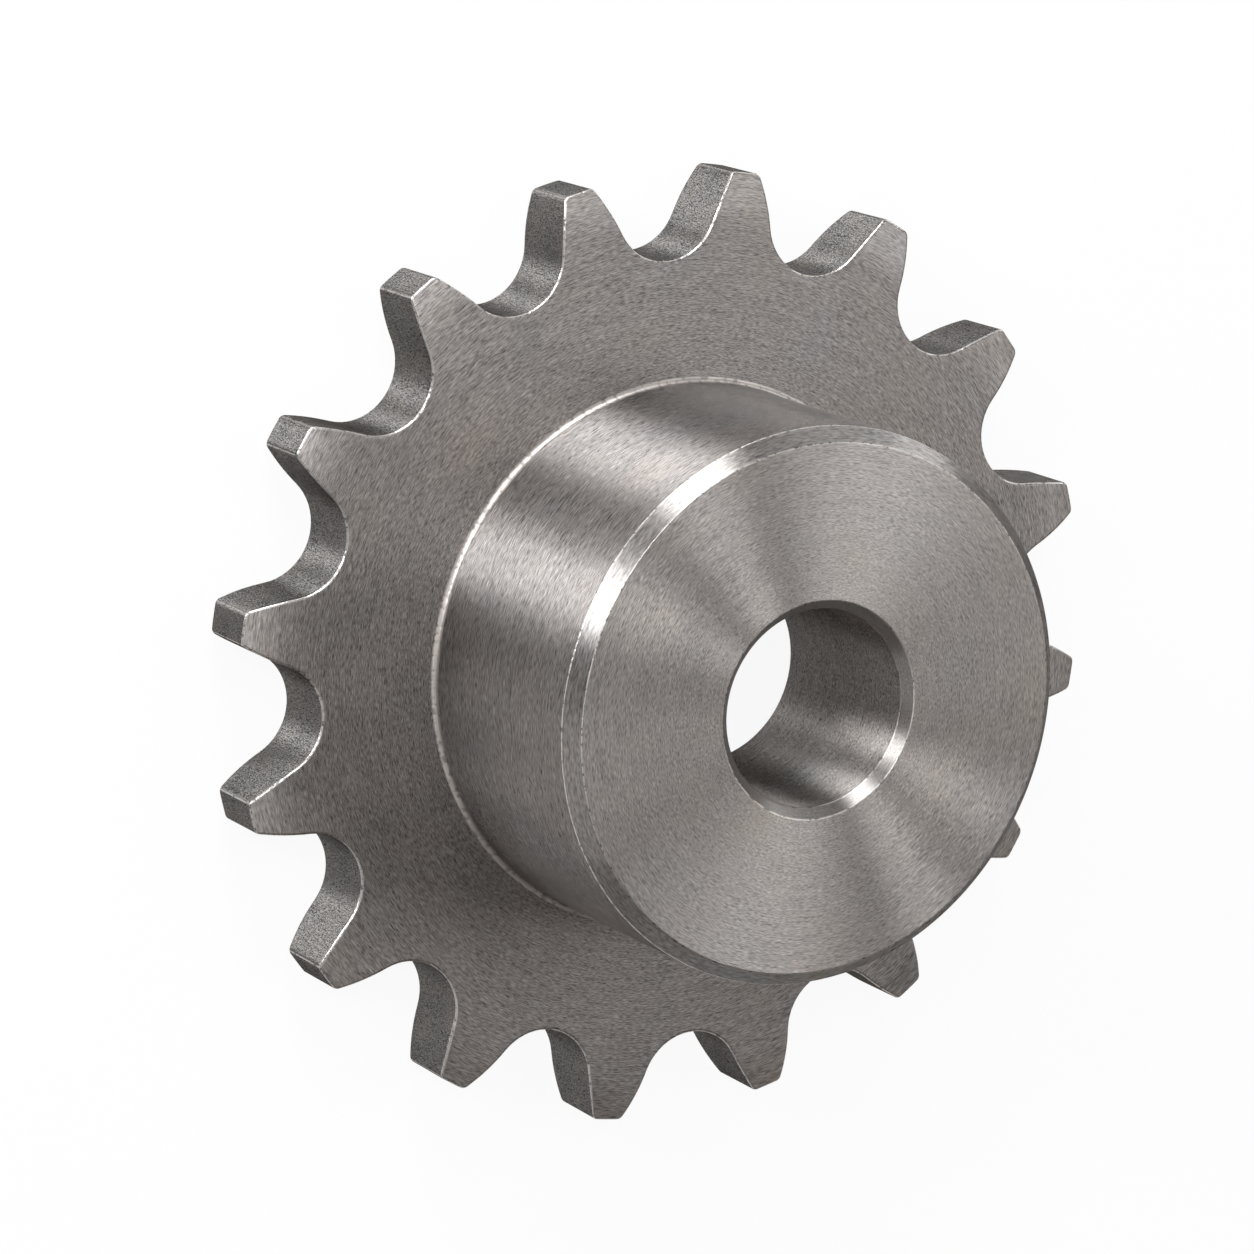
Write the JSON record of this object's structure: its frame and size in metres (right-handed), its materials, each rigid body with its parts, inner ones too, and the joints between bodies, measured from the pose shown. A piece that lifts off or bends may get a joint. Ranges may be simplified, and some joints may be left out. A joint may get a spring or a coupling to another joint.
{
  "type": "chain sprocket",
  "caption": "Steel roller chain sprocket: a toothed ring with a plain round hub on one side, a chamfered through bore and a recessed back.",
  "frame": {"origin": "centre of the toothed ring's back face, on the axis of the bore", "axes": "+Z along the bore towards the hub's face; one tooth points along +X"},
  "size_m": [0.0694, 0.0694, 0.025],
  "materials": {
    "steel": "turned hub, ground sides, light brushing"
  },
  "bodies": {
    "root": {"sprocket": "steel"}
  },
  "joints": []
}
